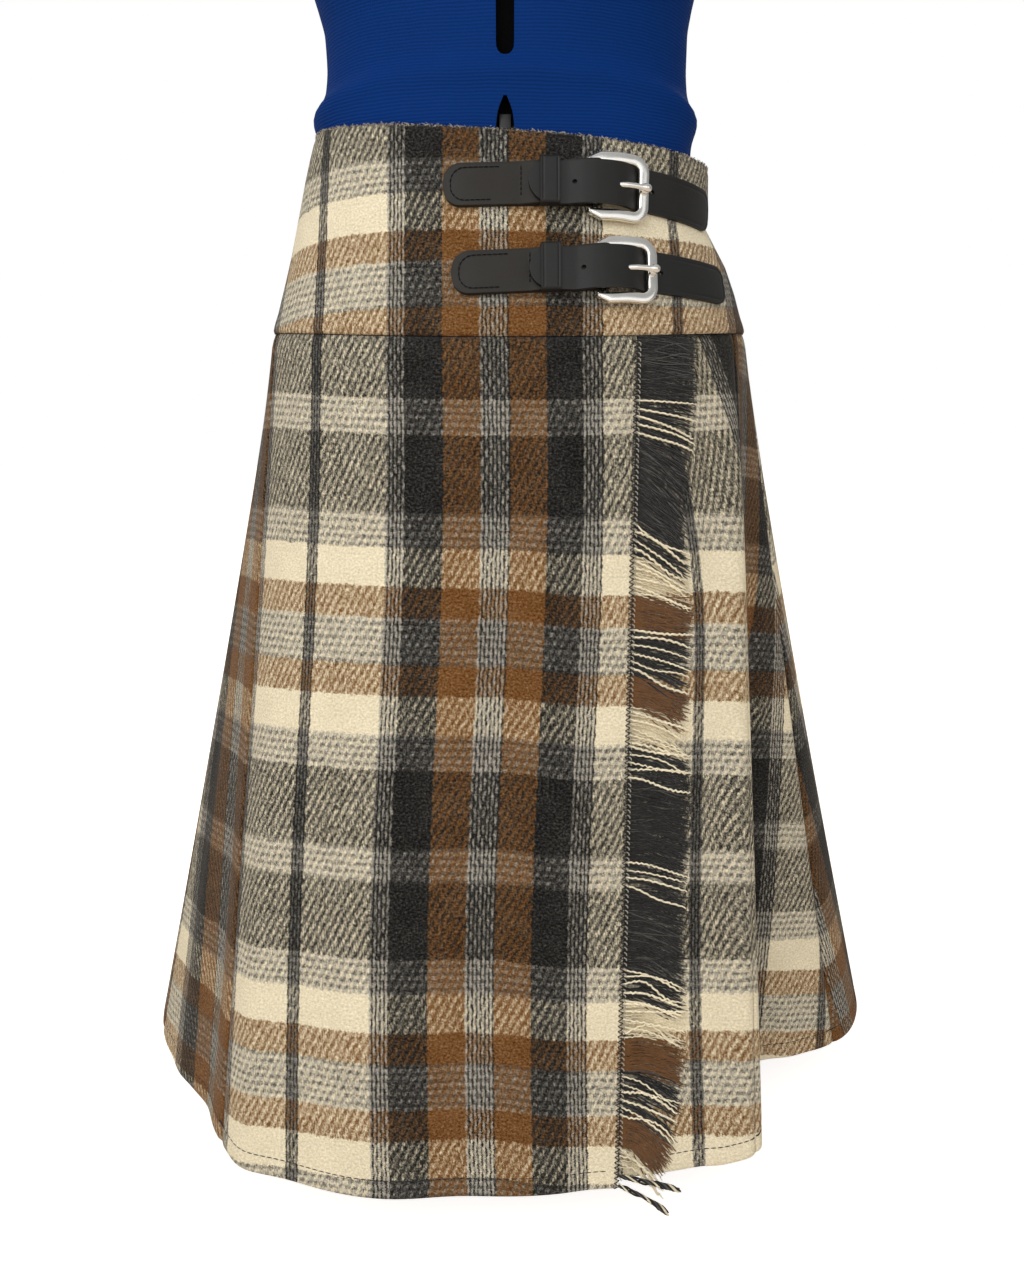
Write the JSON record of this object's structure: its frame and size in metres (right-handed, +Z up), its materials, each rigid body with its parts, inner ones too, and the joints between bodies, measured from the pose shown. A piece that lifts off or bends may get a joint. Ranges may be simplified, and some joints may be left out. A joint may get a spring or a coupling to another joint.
{
  "type": "checked wrap skirt on a limbless dress form",
  "caption": "Flared knee-length checked wool wrap skirt with a fitted hip yoke, a fringed front edge and leather buckle straps, worn by a limbless dress form on a round stand.",
  "frame": {"origin": "centre of the stand's underside, on the floor", "axes": "+Z up, the skirt's front faces -Y, +X to the right as seen from the front"},
  "size_m": [0.5385, 0.4183, 1.1643],
  "materials": {
    "plaid_wool": "brushed wool twill in a cream, brown, charcoal and grey check",
    "fringe_yarn": "fuzzy wool yarn ends in the colours of the check",
    "strap_leather": "smooth dark leather, stitched round the edge",
    "buckle_metal": "polished nickel",
    "form_cover": "royal blue ribbed knit drawn over the form",
    "form_plastic": "moulded black plastic",
    "stand_steel": "satin black powder coat"
  },
  "bodies": {
    "root": {"yoke_front": "plaid_wool", "yoke_back": "plaid_wool", "apron": "plaid_wool", "underlap": "plaid_wool", "side_left": "plaid_wool", "side_right": "plaid_wool", "back_left": "plaid_wool", "back_right": "plaid_wool", "fringe": "fringe_yarn", "tab_upper": "strap_leather", "keeper_upper": "strap_leather", "buckle_upper": "buckle_metal", "tongue_upper": "buckle_metal", "billet_upper": "strap_leather", "tab_lower": "strap_leather", "keeper_lower": "strap_leather", "buckle_lower": "buckle_metal", "tongue_lower": "buckle_metal", "billet_lower": "strap_leather", "torso": "form_cover", "adjuster": "form_plastic", "neck_cap": "form_plastic", "pole": "stand_steel", "base": "stand_steel"}
  },
  "joints": []
}
